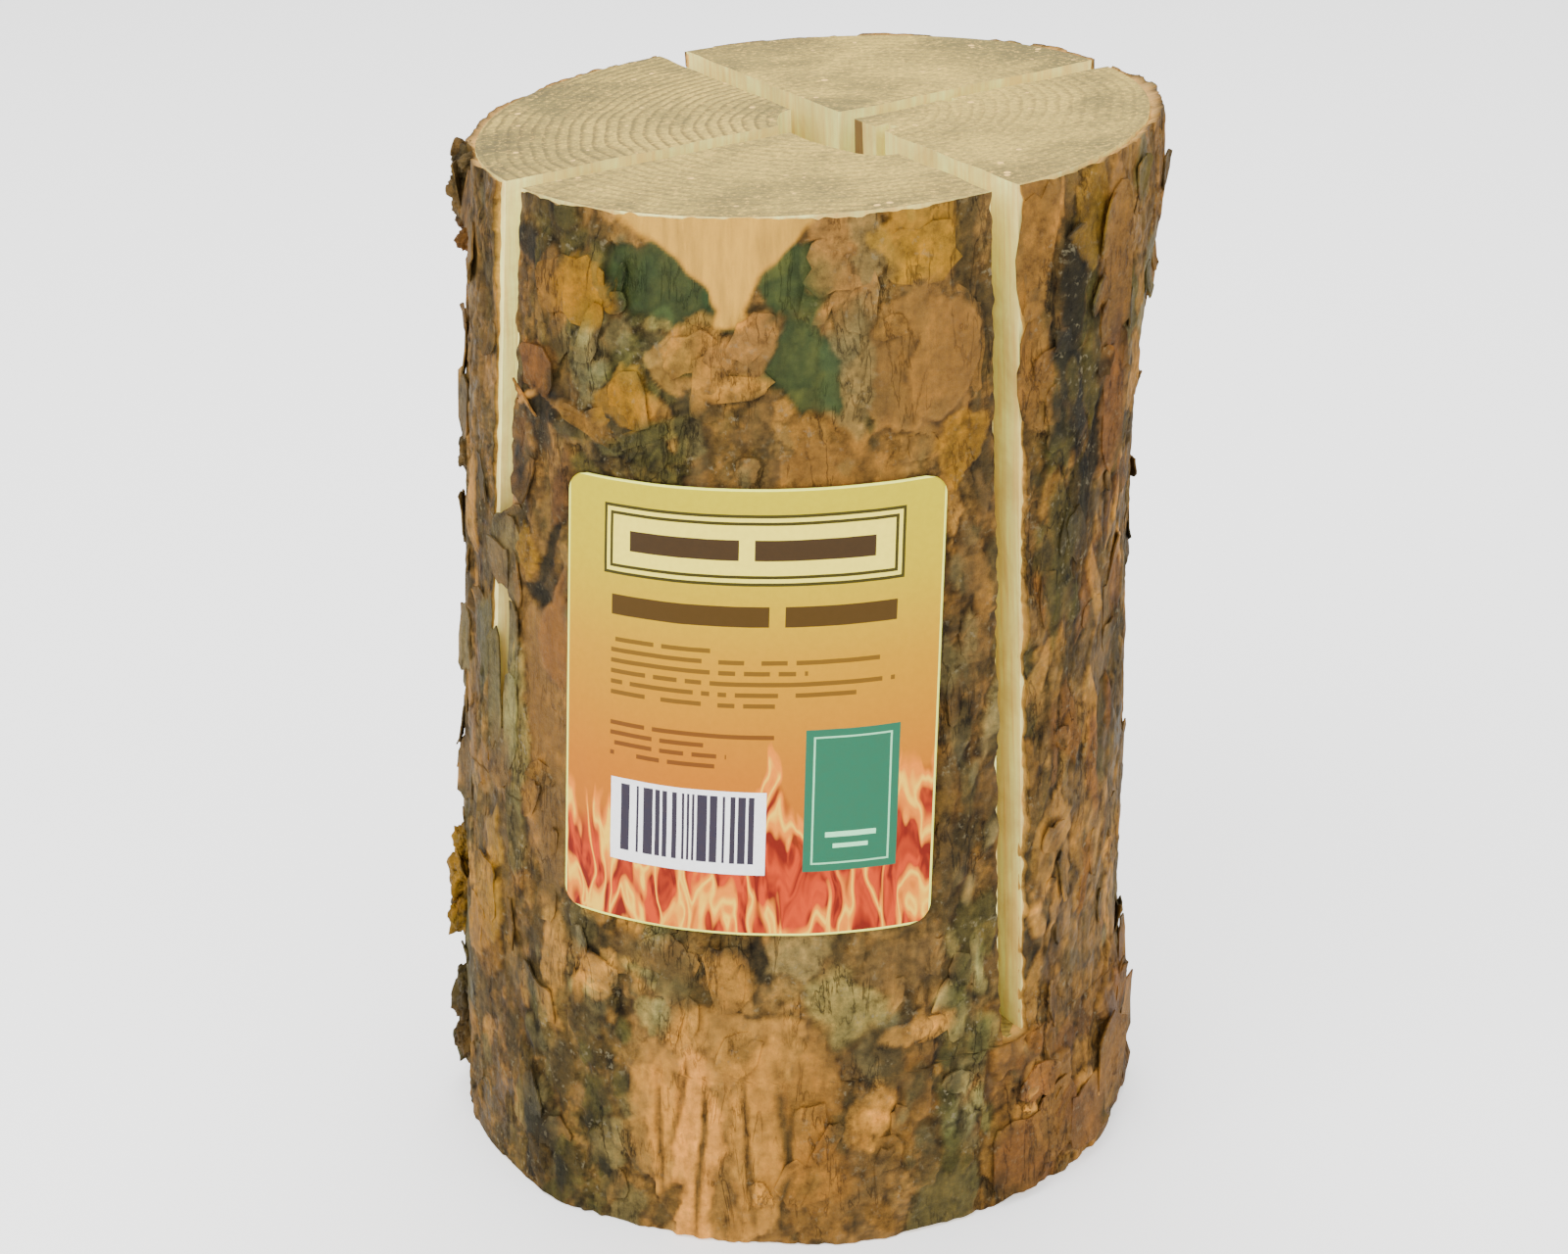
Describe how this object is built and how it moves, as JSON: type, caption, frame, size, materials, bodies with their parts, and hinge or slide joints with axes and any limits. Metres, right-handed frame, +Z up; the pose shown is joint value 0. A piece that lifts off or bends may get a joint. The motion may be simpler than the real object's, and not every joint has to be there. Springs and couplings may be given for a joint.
{
  "type": "kerf-cut log torch",
  "caption": "Short upright length of flaky-barked pine trunk, sawn crosswise down from its top to burn as a torch, with a plain printed paper label round one side.",
  "frame": {"origin": "middle of the model's box, on the sawn base it stands on", "axes": "+Z up along the log, +X and +Y along its two crossing saw cuts; the label faces between -X and -Y"},
  "size_m": [0.1676, 0.1656, 0.2589],
  "materials": {
    "wood_and_bark": "rough flaking bark outside, dry fresh-sawn pine on the ends and in the saw cuts",
    "label_paper": "thin coated paper, semi-gloss print"
  },
  "bodies": {
    "root": {"log": "wood_and_bark", "paper_label": "label_paper"}
  },
  "joints": []
}
